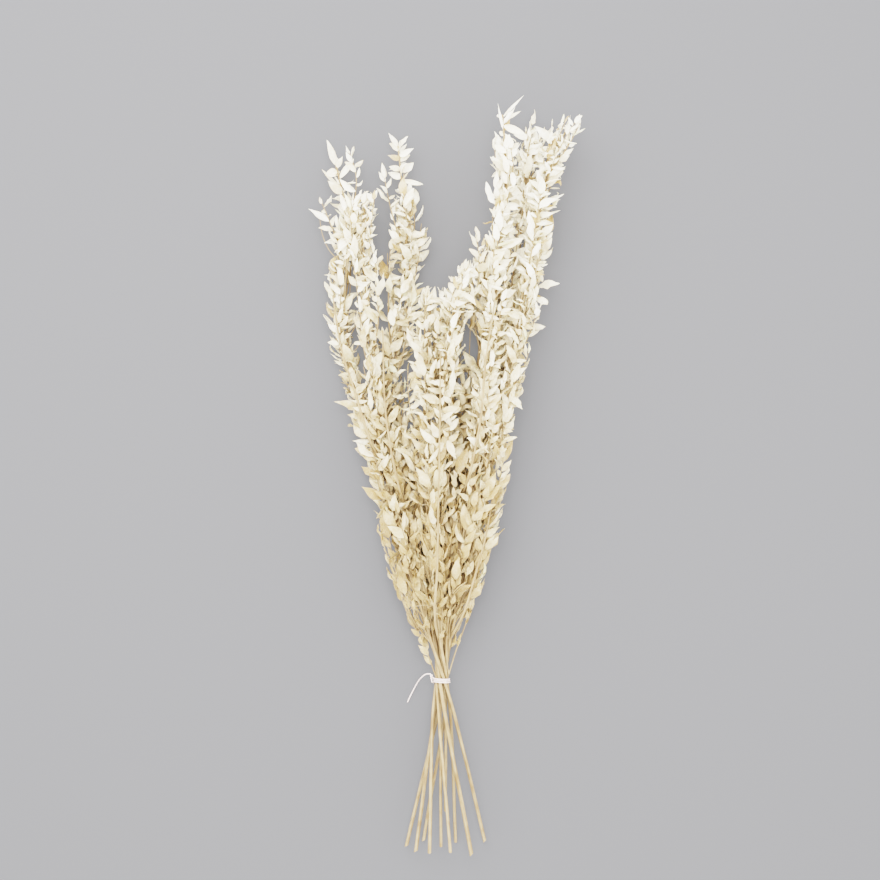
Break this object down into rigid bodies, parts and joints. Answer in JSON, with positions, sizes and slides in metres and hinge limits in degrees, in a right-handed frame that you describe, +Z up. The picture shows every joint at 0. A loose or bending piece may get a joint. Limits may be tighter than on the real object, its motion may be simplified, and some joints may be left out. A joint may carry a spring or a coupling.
{
  "type": "bundle of dried ruscus",
  "caption": "Tied bundle of bleached, dried ruscus: long leafy stems in pale cream, fanned above and below a string at the neck, lying on its back.",
  "frame": {"origin": "on the surface that the bundle lies on, under the middle of its box without the string's loose tail", "axes": "+Y along the bundle from the cut ends to the leaf tips, +Z up from the surface, +X across"},
  "size_m": [0.2626, 0.7608, 0.0744],
  "materials": {
    "ruscus": "bleached dry leaf and stem, matt with a faint silk",
    "tie_string": "twisted cotton string, matt"
  },
  "bodies": {
    "root": {"ruscus_stem_01": "ruscus", "ruscus_stem_02": "ruscus", "ruscus_stem_03": "ruscus", "ruscus_stem_04": "ruscus", "ruscus_stem_05": "ruscus", "ruscus_stem_06": "ruscus", "ruscus_stem_07": "ruscus", "ruscus_stem_08": "ruscus", "ruscus_stem_09": "ruscus", "ruscus_stem_10": "ruscus", "tie_band": "tie_string", "tie_tail": "tie_string"}
  },
  "joints": []
}
